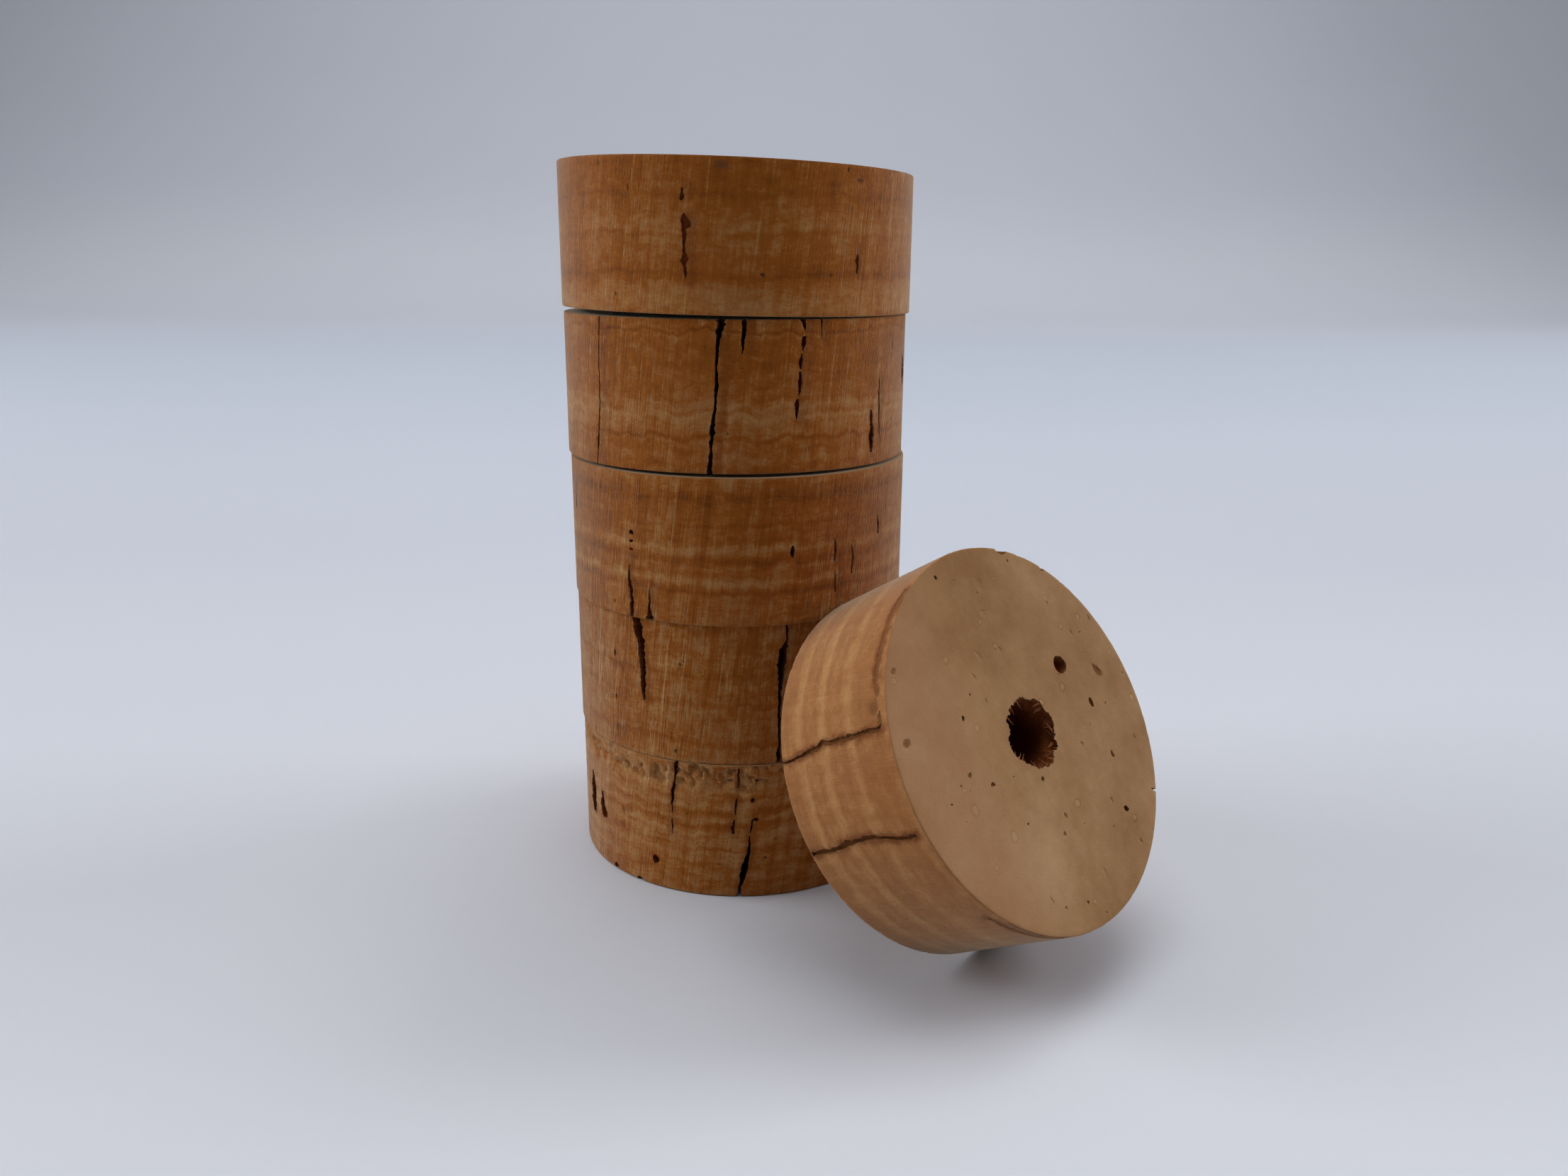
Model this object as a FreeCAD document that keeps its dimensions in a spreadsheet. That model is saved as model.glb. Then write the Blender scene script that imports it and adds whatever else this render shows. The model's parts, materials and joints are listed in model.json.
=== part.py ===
"""Six loose cork rings, as used for a rod grip: five stacked on one bore axis, one leaning on the stack.

Millimetres. +Z is up, the origin is on the stack's bore axis where the bottom ring stands, and -Y is
the front. Each ring is one solid of natural cork, cut from a plank and bored through.
"""

import FreeCAD
import Part
import Sketcher
import math
import os

DRIVING_SIZES = {
    "bore_diameter": 6.35,
    "edge_radius": 0.25,
    "ring_1_diameter": 31.8,
    "ring_1_height": 12.9,
    "ring_1_shift_x": 0.0,
    "ring_1_shift_y": 0.0,
    "ring_2_diameter": 31.3,
    "ring_2_height": 13.0,
    "ring_2_shift_x": -0.4,
    "ring_2_shift_y": 0.0,
    "ring_3_diameter": 31.5,
    "ring_3_height": 12.9,
    "ring_3_shift_x": -0.4,
    "ring_3_shift_y": -0.2,
    "ring_4_diameter": 31.6,
    "ring_4_height": 12.9,
    "ring_4_shift_x": -0.6,
    "ring_4_shift_y": 0.3,
    "ring_4_foot_slope": 0.45,
    "ring_5_diameter": 32.0,
    "ring_5_height": 12.95,
    "ring_5_shift_x": -0.5,
    "ring_5_shift_y": 0.3,
    "ring_5_foot_slope": 0.85,
    "ring_5_crown_slope": 1.85,
    "leaning_diameter": 31.8,
    "leaning_height": 12.5,
    "lean_elevation": 30.5,
    "lean_heading": 43.0,
    "lean_gap": 0.1,
}

STACK_RINGS = (
    ("bottom_ring", 1),
    ("second_ring", 2),
    ("third_ring", 3),
    ("fourth_ring", 4),
    ("top_ring", 5),
)
LEANING_RING = "leaning_ring"
CUT_REACH = 40.0  # a trimming sketch reaches this far past the ring, so only its slope matters
RIM_CLEARANCE = 0.5  # a trimming sketch starts this far outside the rim, so it cuts the whole face

doc = FreeCAD.newDocument("cork_rings")
sheet = doc.addObject("Spreadsheet::Sheet", "sizes")


def fill_sheet():
    for row, (alias, value) in enumerate(DRIVING_SIZES.items(), start=1):
        sheet.set(f"A{row}", alias)
        sheet.set(f"B{row}", str(value))
        sheet.setAlias(f"B{row}", alias)
    doc.recompute()


def origin_plane(body, role):
    return next(feature for feature in body.Origin.OriginFeatures if feature.Role == role)


def new_sketch(body, name, role):
    sketch = body.newObject("Sketcher::SketchObject", name)
    sketch.AttachmentSupport = (origin_plane(body, role), [""])
    sketch.MapMode = "FlatFace"
    return sketch


def circle_sketch(body, name, diameter, centre_x=None, centre_y=None):
    """A circle on the body's XY plane, bound to the sheet; its centre is the bore axis unless it is shifted."""
    sketch = new_sketch(body, name, "XY_Plane")
    start = FreeCAD.Vector(0, 0, 0)
    if centre_x:
        start = FreeCAD.Vector(sheet.get(centre_x), sheet.get(centre_y), 0)
    sketch.addGeometry(Part.Circle(start, FreeCAD.Vector(0, 0, 1), sheet.get(diameter) / 2))
    size = sketch.addConstraint(Sketcher.Constraint("Diameter", 0, sheet.get(diameter)))
    sketch.setExpression(f"Constraints[{size}]", f"sizes.{diameter}")
    if centre_x:
        across = sketch.addConstraint(Sketcher.Constraint("DistanceX", -1, 1, 0, 3, start.x))
        along = sketch.addConstraint(Sketcher.Constraint("DistanceY", -1, 1, 0, 3, start.y))
        sketch.setExpression(f"Constraints[{across}]", f"sizes.{centre_x}")
        sketch.setExpression(f"Constraints[{along}]", f"sizes.{centre_y}")
    else:
        sketch.addConstraint(Sketcher.Constraint("Coincident", 0, 3, -1, 1))
    return sketch


def wedge_sketch(body, name, role, corner, slope, height=None):
    """A triangle that shaves a face out of square.

    Its sharp corner is beside the ring's rim, `corner` from the bore axis. The long side climbs from there
    at `slope` degrees across the foot, or falls at `slope` from the crown when `height` is given.
    """
    sketch = new_sketch(body, name, role)
    level = sheet.get(height) if height else 0.0
    side = -1 if height is None else 1
    angle = math.radians(sheet.get(slope))
    away = math.copysign(1.0, -corner)
    run = FreeCAD.Vector(corner + away * CUT_REACH, level, 0)
    rise = -side * CUT_REACH * math.tan(angle)
    points = [FreeCAD.Vector(corner, level, 0), run, run + FreeCAD.Vector(0, rise, 0)]
    for first, last in zip(points, points[1:] + points[:1]):
        sketch.addGeometry(Part.LineSegment(first, last))
    for line in range(3):
        sketch.addConstraint(Sketcher.Constraint("Coincident", line, 2, (line + 1) % 3, 1))
    sketch.addConstraint(Sketcher.Constraint("Horizontal", 0))
    sketch.addConstraint(Sketcher.Constraint("Vertical", 1))
    sketch.addConstraint(Sketcher.Constraint("DistanceX", -1, 1, 0, 1, corner))
    lift = sketch.addConstraint(Sketcher.Constraint("DistanceY", -1, 1, 0, 1, level))
    sketch.addConstraint(Sketcher.Constraint("DistanceX", 0, 1, 0, 2, away * CUT_REACH))
    tall = sketch.addConstraint(Sketcher.Constraint("DistanceY", 1, 1, 1, 2, rise))
    if height:
        sketch.setExpression(f"Constraints[{lift}]", f"sizes.{height}")
    sketch.setExpression(f"Constraints[{tall}]", f"{-side * CUT_REACH} * tan(sizes.{slope} * 1 deg)")
    return sketch


def cut_through(body, sketch, name):
    """A midplane pocket through the whole ring, checked by its volume because an empty cut shows no error."""
    doc.recompute()
    before = body.Shape.Volume
    pocket = body.newObject("PartDesign::Pocket", name)
    pocket.Profile = sketch
    pocket.Type = "ThroughAll"
    pocket.Midplane = True
    doc.recompute()
    if body.Shape.Volume >= before:
        raise RuntimeError(f"{body.Label}: {name} removed nothing")


def round_rims(body):
    """Breaks the two outer rims; the bore's mouths stay sharp, as drilled."""
    doc.recompute()
    bored = body.Tip
    limit = sheet.get("bore_diameter")
    rims = [
        f"Edge{number}"
        for number, edge in enumerate(body.Shape.Edges, start=1)
        if edge.BoundBox.DiagonalLength > 2 * limit and edge.isClosed()
    ]
    fillet = body.newObject("PartDesign::Fillet", "rounded_rims")
    fillet.Base = (bored, rims)
    fillet.setExpression("Radius", "sizes.edge_radius")
    doc.recompute()


def ring_body(label, diameter, height, shift_x=None, shift_y=None):
    body = doc.addObject("PartDesign::Body", label)
    body.Label = label
    blank = body.newObject("PartDesign::Pad", "cork_blank")
    blank.Profile = circle_sketch(body, "blank_outline", diameter, shift_x, shift_y)
    blank.setExpression("Length", f"sizes.{height}")
    cut_through(body, circle_sketch(body, "bore_outline", "bore_diameter"), "bore")
    return body


def stack_ring(label, number):
    prefix = f"ring_{number}"
    body = ring_body(
        label, f"{prefix}_diameter", f"{prefix}_height", f"{prefix}_shift_x", f"{prefix}_shift_y"
    )
    radius = sheet.get(f"{prefix}_diameter") / 2
    if number == 4:  # foot out of square: it opens towards the front
        back_rim = sheet.get("ring_4_shift_y") + radius + RIM_CLEARANCE
        foot = wedge_sketch(body, "foot_slope", "YZ_Plane", back_rim, "ring_4_foot_slope")
        cut_through(body, foot, "foot_trim")
    if number == 5:  # foot and crown out of square: both fall towards the right
        right_rim = sheet.get("ring_5_shift_x") + radius + RIM_CLEARANCE
        left_rim = sheet.get("ring_5_shift_x") - radius - RIM_CLEARANCE
        foot = wedge_sketch(body, "foot_slope", "XZ_Plane", right_rim, "ring_5_foot_slope")
        cut_through(body, foot, "foot_trim")
        crown = wedge_sketch(
            body, "crown_slope", "XZ_Plane", left_rim, "ring_5_crown_slope", "ring_5_height"
        )
        cut_through(body, crown, "crown_trim")
    round_rims(body)
    below = " + ".join(f"sizes.ring_{lower}_height" for lower in range(1, number))
    if below:
        body.setExpression("Placement.Base.z", below)
    return body


def leaning_ring():
    """Stands on the lower rim of its back face, and its upper back rim leans on the third ring's wall."""
    body = ring_body(LEANING_RING, "leaning_diameter", "leaning_height")
    round_rims(body)
    tilt = "(sizes.lean_elevation * 1 deg)"
    heading = "(sizes.lean_heading * 1 deg)"
    rim = "(sizes.leaning_diameter / 2 - sizes.edge_radius)"
    out = (
        f"(sizes.ring_3_diameter / 2 + sizes.edge_radius + sizes.lean_gap"
        f" - sizes.edge_radius * cos{tilt} + {rim} * sin{tilt})"
    )
    body.setExpression("Placement.Base.x", f"sizes.ring_3_shift_x + {out} * sin{heading}")
    body.setExpression("Placement.Base.y", f"sizes.ring_3_shift_y - {out} * cos{heading}")
    body.setExpression("Placement.Base.z", f"{rim} * cos{tilt} + sizes.edge_radius * (1 - sin{tilt})")
    body.setExpression("Placement.Rotation.Axis.x", f"cos{heading}")
    body.setExpression("Placement.Rotation.Axis.y", f"sin{heading}")
    body.setExpression("Placement.Rotation.Axis.z", "0")
    body.setExpression("Placement.Rotation.Angle", "90 - sizes.lean_elevation")
    return body


def check_document(bodies):
    for item in doc.Objects:
        if "Invalid" in item.State or "Error" in item.State:
            raise RuntimeError(f"{item.Name} failed: {item.State}")
    for body in bodies:
        if body.Shape.isNull() or not body.Shape.isValid() or len(body.Shape.Solids) != 1:
            raise RuntimeError(f"{body.Label} is not one valid solid")


def export(bodies):
    os.makedirs("parts", exist_ok=True)
    for body in bodies:
        body.Shape.exportStep(os.path.join("parts", f"{body.Label}.step"))
        box = body.Shape.BoundBox
        print(
            f"{body.Label}: volume {body.Shape.Volume:.1f} mm3,"
            f" z {box.ZMin:.2f} to {box.ZMax:.2f}, at {tuple(round(v, 3) for v in body.Placement.Base)}"
        )


fill_sheet()
rings = [stack_ring(label, number) for label, number in STACK_RINGS]
rings.append(leaning_ring())
doc.recompute()
check_document(rings)
export(rings)
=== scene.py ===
import json
import math
import random

import bpy
from mathutils import Matrix, Vector


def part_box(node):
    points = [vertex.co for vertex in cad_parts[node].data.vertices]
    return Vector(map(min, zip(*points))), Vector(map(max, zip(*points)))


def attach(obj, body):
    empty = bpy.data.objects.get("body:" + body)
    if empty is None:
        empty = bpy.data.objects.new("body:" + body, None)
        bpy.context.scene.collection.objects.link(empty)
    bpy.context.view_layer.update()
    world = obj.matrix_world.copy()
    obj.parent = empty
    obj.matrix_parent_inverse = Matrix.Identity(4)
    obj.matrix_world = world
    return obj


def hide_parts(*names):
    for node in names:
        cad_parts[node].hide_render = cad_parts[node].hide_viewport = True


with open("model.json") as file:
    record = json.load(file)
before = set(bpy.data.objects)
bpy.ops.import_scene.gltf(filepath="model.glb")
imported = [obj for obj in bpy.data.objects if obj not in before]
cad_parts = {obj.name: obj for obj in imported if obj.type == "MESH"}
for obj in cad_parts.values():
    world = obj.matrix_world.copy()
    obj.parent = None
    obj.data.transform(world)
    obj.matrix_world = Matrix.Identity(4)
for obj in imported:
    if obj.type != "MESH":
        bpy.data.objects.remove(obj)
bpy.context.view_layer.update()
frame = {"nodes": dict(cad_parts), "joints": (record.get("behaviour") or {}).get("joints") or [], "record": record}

mm = 0.001  # rings are worked out in millimetres and brought to metres at the end
toMetres = Matrix.Scale(mm, 4)

# what every ring shares, lengths in mm
cork = {
    "columns": 400,  # around the ring
    "spacing": 0.32,  # between rows of the wall and the faces
    "rim": 0.14,  # rounding of the two outer edges
    "rimSteps": 3,
    "wear": 0.10,  # how far the edges crumble inwards
    "wall": 0.035,  # low swells left by the cutting tube
    "score": 0.022,  # upright tool marks
    "grain": 0.05,  # pitting of a rough wall
    "ragged": 0.62,  # how far the drilled mouth stands into the bore
    "crackStep": 0.16,  # between sections along a crack
    "crackJag": 1.28,  # how far a crack strays from its line, as a share of its width
    "pitJag": 0.5,  # how far a pit's outline strays, from one side to the other
    "specks": 0.014,  # small pits to the square millimetre of wall
    "faceSpecks": 0.035,
    "speckGap": 0.9,
    "splinters": 64,  # at each mouth of the bore
    "slopeReach": 0.5,  # how far outside the wall a sloping face starts to be cut away
    "sharp": 38,  # degrees, past which an edge is shaded as sharp
    "slot": "natural_cork",
}


class Wire:
    # one output of a node: arithmetic on it adds the node that does it
    def __init__(self, board, socket):
        self.board = board
        self.socket = socket

    def out(self, name):  # another output of the same node
        return Wire(self.board, pick(self.socket.node.outputs, name))

    def sum(self, operation, *others):
        inputs = dict(enumerate((self, *others)))
        return self.board.add("ShaderNodeMath", {"operation": operation}, inputs)

    def __add__(self, other):
        return self.sum("ADD", other)

    def __radd__(self, other):
        return self.sum("ADD", other)

    def __sub__(self, other):
        return self.sum("SUBTRACT", other)

    def __rsub__(self, other):
        return self.board.add("ShaderNodeMath", {"operation": "SUBTRACT"}, {0: other, 1: self})

    def __mul__(self, other):
        return self.sum("MULTIPLY", other)

    def __rmul__(self, other):
        return self.sum("MULTIPLY", other)

    def __truediv__(self, other):
        return self.sum("DIVIDE", other)

    def __neg__(self):
        return self.sum("MULTIPLY", -1.0)

    def __gt__(self, other):
        return self.sum("GREATER_THAN", other)

    def __lt__(self, other):
        return self.sum("LESS_THAN", other)

    def root(self):
        return self.sum("SQRT")

    def atLeast(self, other):
        return self.sum("MAXIMUM", other)

    def atMost(self, other):
        return self.sum("MINIMUM", other)


class Board:
    # a node tree being wired
    def __init__(self, tree):
        self.tree = tree

    def add(self, kind, settings=None, inputs=None, out=0):
        node = self.tree.nodes.new(kind)
        for name, value in (settings or {}).items():
            if name == "stops":
                setStops(node.color_ramp, value)
            else:
                setattr(node, name, value)
        for key, value in (inputs or {}).items():
            self.feed(pick(node.inputs, key), value)
        return Wire(self, pick(node.outputs, out)) if len(node.outputs) else node

    def feed(self, socket, value):
        if isinstance(value, Wire):
            self.tree.links.new(value.socket, socket)
        elif isinstance(value, list):
            for wire in reversed(value):
                self.tree.links.new(wire.socket, socket)
        else:
            socket.default_value = value

    def vector(self, operation, *values, out=0):
        return self.add("ShaderNodeVectorMath", {"operation": operation}, dict(enumerate(values)), out)

    def join(self, x, y, z):
        return self.add("ShaderNodeCombineXYZ", None, {0: x, 1: y, 2: z})

    def spread(self, number):
        return self.join(number, number, number)

    def split(self, vector):
        parts = self.add("ShaderNodeSeparateXYZ", None, {0: vector})
        return parts, parts.out("Y"), parts.out("Z")

    def noise(self, place, scale, detail=2.0, roughness=0.5, seed=0.0, distortion=0.0):
        inputs = {"Vector": place, "W": seed, "Scale": scale, "Detail": detail, "Roughness": roughness}
        inputs["Distortion"] = distortion
        return self.add("ShaderNodeTexNoise", {"noise_dimensions": "4D"}, inputs)

    def ease(self, value, low, high):  # 0 below low, 1 above high, smooth between
        settings = {"interpolation_type": "SMOOTHSTEP"}
        return self.add("ShaderNodeMapRange", settings, {"Value": value, "From Min": low, "From Max": high})

    def ramp(self, place, *stops):
        return self.add("ShaderNodeValToRGB", {"stops": stops}, {0: place})

    def blend(self, amount, under, over):  # one colour laid over another
        inputs = {"Factor_Float": amount, "A_Color": opaque(under), "B_Color": opaque(over)}
        return self.add("ShaderNodeMix", {"data_type": "RGBA"}, inputs, "Result_Color")

    def place(self):
        return self.add("GeometryNodeInputPosition")

    def move(self, geometry, where, by="Position"):
        return self.add("GeometryNodeSetPosition", None, {"Geometry": geometry, by: where})

    def named(self, name):  # a number kept at each point
        return self.add("GeometryNodeInputNamedAttribute", {"data_type": "FLOAT"}, {"Name": name})

    def keep(self, geometry, name, value, kind="FLOAT"):
        inputs = {"Geometry": geometry, "Name": name, "Value": value}
        return self.add("GeometryNodeStoreNamedAttribute", {"data_type": kind, "domain": "POINT"}, inputs)

    def shapeOf(self, piece):
        return self.add("GeometryNodeObjectInfo", None, {"Object": piece}).out("Geometry")

    def scatter(self, points, thing, **inputs):
        inputs = {"Points": points, "Instance": thing, **inputs}
        return self.add("GeometryNodeInstanceOnPoints", None, inputs)

    def realize(self, geometry):
        return self.add("GeometryNodeRealizeInstances", None, {0: geometry})

    def gather(self, *parts):
        return self.add("GeometryNodeJoinGeometry", None, {0: list(parts)})

    def dice(self, low, high, seed, **inputs):  # a random vector
        inputs = {"Min": low, "Max": high, "Seed": seed, **inputs}
        return self.add("FunctionNodeRandomValue", {"data_type": "FLOAT_VECTOR"}, inputs)

    def quad(self, *corners):
        points = {f"Point {number}": corner for number, corner in enumerate(corners, start=1)}
        return self.add("GeometryNodeCurvePrimitiveQuadrilateral", {"mode": "POINTS"}, points)


def pick(sockets, key):
    if isinstance(key, int):
        return sockets[key]
    for socket in sockets:
        if socket.identifier == key:
            return socket
    return sockets[key]


def opaque(colour):
    return (*colour, 1.0) if isinstance(colour, tuple) else colour


def setStops(ramp, stops):
    while len(ramp.elements) > 1:
        ramp.elements.remove(ramp.elements[-1])
    for index, (place, colour) in enumerate(stops):
        element = ramp.elements[0] if index == 0 else ramp.elements.new(place)
        element.position = place
        element.color = opaque(colour) if isinstance(colour, tuple) else (colour, colour, colour, 1.0)


def freshBoard(owner):  # the emptied node tree of a material or a world
    owner.use_nodes = True
    owner.node_tree.nodes.clear()
    return Board(owner.node_tree)


print("stage: wiring ready")

ringInputs = (
    ("Radius", "NodeSocketFloat"),
    ("Bore", "NodeSocketFloat"),
    ("Height", "NodeSocketFloat"),
    ("Shift", "NodeSocketVector"),
    ("Foot Slope", "NodeSocketVector"),
    ("Crown Slope", "NodeSocketVector"),
    ("Torn Height", "NodeSocketFloat"),
    ("Torn Depth", "NodeSocketFloat"),
    ("Roughness", "NodeSocketFloat"),
    ("Seed", "NodeSocketFloat"),
    ("Cracks", "NodeSocketObject"),
    ("Pits", "NodeSocketObject"),
    ("Cork", "NodeSocketMaterial"),
)


def ringTree():
    tree = bpy.data.node_groups.new("cork ring", "GeometryNodeTree")
    tree.interface.new_socket("Geometry", in_out="INPUT", socket_type="NodeSocketGeometry")
    for name, kind in ringInputs:
        tree.interface.new_socket(name, in_out="INPUT", socket_type=kind)
    tree.interface.new_socket("Geometry", in_out="OUTPUT", socket_type="NodeSocketGeometry")
    board = Board(tree)
    given = board.add("NodeGroupInput")
    value = {name: given.out(name) for name, kind in ringInputs}

    blank = ringBlank(board, value)
    cutters = [crackCutters(board, value), pitCutters(board, value), speckCutters(board, value, False)]
    cutters.append(speckCutters(board, value, True))
    cutting = {"operation": "DIFFERENCE", "solver": "MANIFOLD"}
    cut = board.add("GeometryNodeMeshBoolean", cutting, {"Mesh 1": blank, "Mesh 2": cutters})
    whole = board.realize(board.gather(noteSurface(board, value, cut), splinters(board, value)))
    whole = board.add("GeometryNodeSetMaterial", None, {"Geometry": whole, "Material": value["Cork"]})
    board.add("NodeGroupOutput", None, {0: whole})
    return tree


def ringBlank(board, value):
    section = ringSection(board, value)
    place = board.place()
    rows = board.add("GeometryNodeAttributeDomainSize", {"component": "CURVE"}, {"Geometry": section})

    # one row of the grid for each point of the section, one column for each step around
    columns = cork["columns"]
    size = {"Size X": float(columns), "Size Y": rows, "Vertices X": columns + 1, "Vertices Y": rows + 1}
    grid = board.add("GeometryNodeMeshGrid", None, size)
    across, along, unused = board.split(place)
    row = (along + rows * 0.5).sum("ROUND").sum("MODULO", rows)
    sampled = {"Geometry": section, "Value": place, "Index": row}
    onSection = board.add("GeometryNodeSampleIndex", {"data_type": "FLOAT_VECTOR"}, sampled)
    out, up, unused = board.split(onSection)
    angle = (across + columns * 0.5).sum("ROUND") * (2 * math.pi / columns)
    ring = board.move(grid, aroundAxis(board, out, angle, up))
    ring = board.add("GeometryNodeMergeByDistance", None, {"Geometry": ring, "Distance": 0.002})
    ring = board.keep(ring, "worn", wearOf(board, value))
    x, y, unused = board.split(place)
    outward = board.vector("NORMALIZE", board.join(x, y, 0.0))
    ring = board.move(ring, board.vector("MULTIPLY", outward, board.spread(-board.named("worn"))), "Offset")
    return board.move(ring, outOfTrue(board, value))


def ringSection(board, value):
    # bore foot, bore crown, crown edge, foot edge; only the outer corners are rounded
    radius, bore, height = value["Radius"], value["Bore"], value["Height"]
    corners = ((bore, 0.0), (bore, height), (radius, height), (radius, 0.0))
    section = board.quad(*[board.join(x, y, 0.0) for x, y in corners])
    index = board.add("GeometryNodeInputIndex")
    rounding = {"Curve": section, "Count": cork["rimSteps"], "Radius": (index > 1.5) * cork["rim"]}
    section = board.add("GeometryNodeFilletCurve", {"mode": "POLY"}, rounding)
    place = board.place()
    count = board.add("GeometryNodeAttributeDomainSize", {"component": "CURVE"}, {"Geometry": section})
    following = {"Value": place, "Index": index.sum("ADD", 1.0).sum("MODULO", count)}
    ahead = board.add("GeometryNodeFieldAtIndex", {"data_type": "FLOAT_VECTOR"}, following)
    cuts = (board.vector("DISTANCE", place, ahead, out="Value") / cork["spacing"]).sum("FLOOR")
    return board.add("GeometryNodeSubdivideCurve", None, {"Curve": section, "Cuts": cuts})


def aroundAxis(board, out, angle, up):  # 0 faces the front, and the angle grows to the right
    return board.join(out * angle.sum("SINE"), -(out * angle.sum("COSINE")), up)


def outness(board, value, x, y):
    # distance from the bore's axis, and the share of the way from the bore to the wall
    out = (x * x + y * y).root()
    return out, ((out - value["Bore"]) / (value["Radius"] - value["Bore"])).atLeast(0.0)


def cutAway(board, value, place):
    # how much the sloping foot and crown have lost at a point
    lost = []
    for slope in (value["Foot Slope"], value["Crown Slope"]):
        steep = board.vector("LENGTH", slope, out="Value")
        here = board.vector("DOT_PRODUCT", slope, place, out="Value")
        lost.append(steep * (value["Radius"] + cork["slopeReach"]) + here)
    return lost


def outOfTrue(board, value):
    # moves the wall off the bore's axis and leans the foot and the crown
    place = board.place()
    x, y, z = board.split(place)
    out, share = outness(board, value, x, y)
    shifted = board.vector("MULTIPLY_ADD", value["Shift"], board.spread(share), place)
    foot, crown = cutAway(board, value, place)
    height = foot + z * (value["Height"] - crown - foot) / value["Height"]
    x, y, unused = board.split(shifted)
    return board.join(x, y, height)


def wearOf(board, value):
    # how far each point of the fresh ring has moved towards the axis
    seed, radius, bore, height = (value[name] for name in ("Seed", "Radius", "Bore", "Height"))
    place = board.place()
    x, y, z = board.split(place)
    out = (x * x + y * y).root()
    onWall = board.ease(out, radius - 0.4, radius - 0.05)
    toEdge = z.atMost(height - z)

    swell = board.noise(place, 0.12, 2.0, 0.5, seed) * cork["wall"]
    upright = board.vector("MULTIPLY", place, (1.0, 1.0, 0.05))
    score = board.noise(upright, 1.7, 3.0, 0.6, seed + 3.0) * cork["score"] * value["Roughness"]
    crumble = board.ease(board.noise(place, 1.5, 3.0, 0.65, seed + 5.0), 0.5, 0.8)
    edge = (1.0 - board.ease(toEdge, 0.0, 0.5)) * crumble * cork["wear"]
    grain = board.ease(board.noise(place, 2.2, 2.0, 0.6, seed + 6.0), 0.52, 0.75)
    pitted = grain * cork["grain"] * (value["Roughness"] - 1.0).atLeast(0.0)

    # a band below the crown where the cutter tore the cork
    wander = board.noise(place, 0.25, 2.0, 0.5, seed + 7.0) * 3.0
    below = height - z + wander - 1.5
    fade = board.ease(below, value["Torn Height"] * 0.6, value["Torn Height"])
    inBand = board.ease(below, 0.0, 0.4) * (1.0 - fade)
    clods = board.noise(place, 1.1, 4.0, 0.7, seed + 8.0, 0.8)
    torn = inBand * board.ease(clods, 0.42, 0.6) * value["Torn Depth"]
    inward = (swell + score + edge + pitted + torn) * onWall

    # the drilled mouth is torn towards the bore's axis, most at the two ends
    nearBore = 1.0 - board.ease(out, bore + 0.1, bore + 1.1)
    mouth = 0.45 + (1.0 - board.ease(toEdge, 0.0, 1.6)) * 0.55
    teeth = board.ease(board.noise(place, 0.75, 4.0, 0.72, seed + 9.0), 0.36, 0.72)
    return inward + nearBore * mouth * teeth * cork["ragged"]


def wrapped(board, value, geometry, side):
    # flat marks, x along the wall or across a face, y up, z out of the surface, laid on the ring
    x, y, z = board.split(board.place())
    if side == "wall":
        place = aroundAxis(board, value["Radius"] + z, x / value["Radius"], y)
    elif side == "crown":
        place = board.join(x, y, value["Height"] + z)
    else:
        place = board.join(x, y, -z)
    geometry = board.move(geometry, place)
    if side == "foot":
        geometry = board.add("GeometryNodeFlipFaces", None, {0: geometry})
    return board.move(geometry, outOfTrue(board, value))


def crackCutters(board, value):
    # a wedge follows each crack's line; its plan gives how wide and how deep it is on the way
    line = board.add("GeometryNodeMeshToCurve", None, {"Mesh": board.shapeOf(value["Cracks"])})
    step = {"Curve": line, "Length": cork["crackStep"]}
    line = board.add("GeometryNodeResampleCurve", {"mode": "LENGTH"}, step)
    line = board.add("GeometryNodeSetCurveNormal", {"mode": "Z_UP"}, {"Curve": line})
    wedge = board.quad((-0.5, -0.5, 0.0), (0.5, -0.5, 0.0), (0.3, 1.0, 0.0), (-0.3, 1.0, 0.0))
    wedge = board.add("GeometryNodeSubdivideCurve", None, {"Curve": wedge, "Cuts": 1})
    gape = board.named("gape")
    swept = {"Curve": line, "Profile Curve": wedge, "Scale": gape, "Fill Caps": True}
    solid = board.add("GeometryNodeCurveToMesh", None, swept)
    place = board.place()
    x, y, z = board.split(place)
    deep = (z / gape).atMost(0.0) * board.named("reach") + z.atLeast(0.0) + (z > 0.0) * 0.2
    jag = board.noise(place, 1.6, 4.0, 0.75, value["Seed"] + 11.0) - 0.5
    wide = board.noise(place, 2.6, 2.0, 0.6, value["Seed"] + 12.0) - 0.5
    sideways = jag * (gape + 0.12) * cork["crackJag"]
    solid = board.move(solid, board.join(x + sideways + wide * gape * 0.5, y, deep))
    return wrapped(board, value, solid, "wall")


def pitCutters(board, value):
    plan = board.shapeOf(value["Pits"])
    ball = board.add("GeometryNodeMeshIcoSphere", None, {"Radius": 1.0, "Subdivisions": 3})
    size = board.join(board.named("wide") * 0.5, board.named("long") * 0.5, board.named("reach"))
    turn = board.join(0.0, 0.0, board.named("turn"))
    holes = []
    for index, side in enumerate(("wall", "crown", "foot")):
        here = board.named("side").sum("COMPARE", float(index), 0.1)
        pits = board.realize(board.scatter(plan, ball, Selection=here, Scale=size, Rotation=turn))
        place = board.place()
        x, y, z = board.split(place)
        uneven = board.noise(place, 1.5, 3.0, 0.65, value["Seed"] + 14.0 + index) - 0.5
        other = board.noise(place, 1.9, 3.0, 0.65, value["Seed"] + 24.0 + index) - 0.5
        stray = (board.named("wide") * 1.1).atMost(cork["pitJag"])
        pits = board.move(pits, board.join(x + uneven * stray, y + other * stray, z))
        holes.append(wrapped(board, value, pits, side))
    return board.gather(*holes)


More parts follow.
